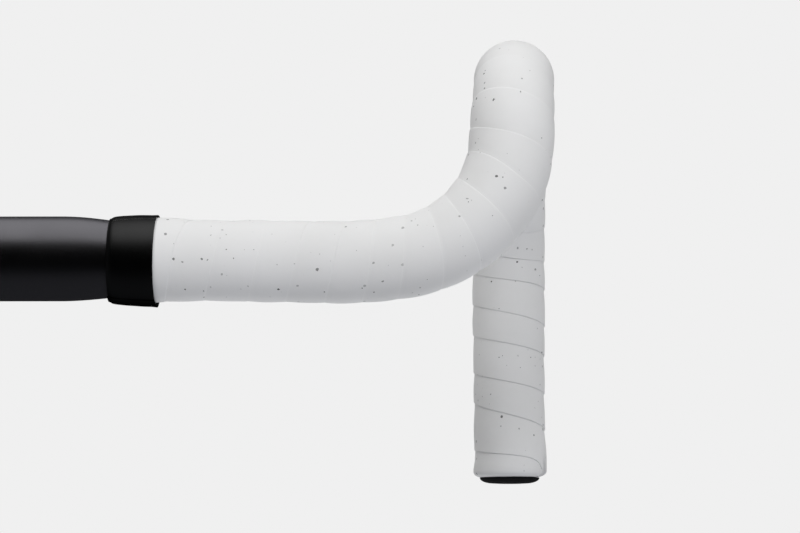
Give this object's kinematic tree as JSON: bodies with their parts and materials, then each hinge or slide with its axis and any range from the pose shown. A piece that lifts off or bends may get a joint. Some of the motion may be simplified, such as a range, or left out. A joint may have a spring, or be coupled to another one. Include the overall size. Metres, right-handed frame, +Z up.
{
  "type": "drop handlebar",
  "caption": "Road bicycle handlebar with a flat top, short ramps and curved drops, wrapped in padded tape, with expanding plugs in its open ends.",
  "frame": {"origin": "centre of the stem clamp, on the tube's axis, halfway between the two drops", "axes": "+X along the tops to the rider's right, +Y forwards, +Z up, with the clamp's axis along X"},
  "size_m": [0.464, 0.1554, 0.1763],
  "materials": {
    "anodised_tube": "gloss",
    "speckled_tape": "matte",
    "vinyl_band": "satin",
    "plug_plastic": "satin",
    "expander_plastic": "matte",
    "screw_steel": "satin"
  },
  "bodies": {
    "bar": {"bar_tube": "anodised_tube", "bar_tape_right": "speckled_tape", "bar_tape_left": "speckled_tape", "finishing_band_right": "vinyl_band", "finishing_band_left": "vinyl_band"},
    "plug_right": {"plug_cap_right": "plug_plastic", "expander_sleeve_right": "expander_plastic"},
    "plug_left": {"plug_cap_left": "plug_plastic", "expander_sleeve_left": "expander_plastic"},
    "screw_right": {"plug_screw_right": "screw_steel"},
    "screw_left": {"plug_screw_left": "screw_steel"},
    "wedge_right": {"wedge_nut_right": "expander_plastic"},
    "wedge_left": {"wedge_nut_left": "expander_plastic"}
  },
  "joints": [
    {"name": "plug_pull_right", "type": "slide", "parent": "bar", "child": "plug_right", "axis": [0, -0.9848, -0.1736], "range_m": [0, 0.045]},
    {"name": "screw_turn_right", "type": "hinge", "parent": "plug_right", "child": "screw_right", "pos_m": [0.21674, -0.05144, -0.14481], "axis": [0, -0.9848, -0.1736], "range_deg": [0, 1800]},
    {"name": "wedge_travel_right", "type": "slide", "parent": "plug_right", "child": "wedge_right", "axis": [0, 0.9848, 0.1736], "range_m": [0, 0.0035]},
    {"name": "plug_pull_left", "type": "slide", "parent": "bar", "child": "plug_left", "axis": [0, -0.9848, -0.1736], "range_m": [0, 0.045]},
    {"name": "screw_turn_left", "type": "hinge", "parent": "plug_left", "child": "screw_left", "pos_m": [-0.21674, -0.05144, -0.14481], "axis": [0, -0.9848, -0.1736], "range_deg": [0, 1800]},
    {"name": "wedge_travel_left", "type": "slide", "parent": "plug_left", "child": "wedge_left", "axis": [0, 0.9848, 0.1736], "range_m": [0, 0.0035]}
  ],
  "couplings": [
    {"joint": "screw_turn_right", "follows": "wedge_travel_right", "rad_per_m": 8976},
    {"joint": "screw_turn_left", "follows": "wedge_travel_left", "rad_per_m": 8976}
  ]
}
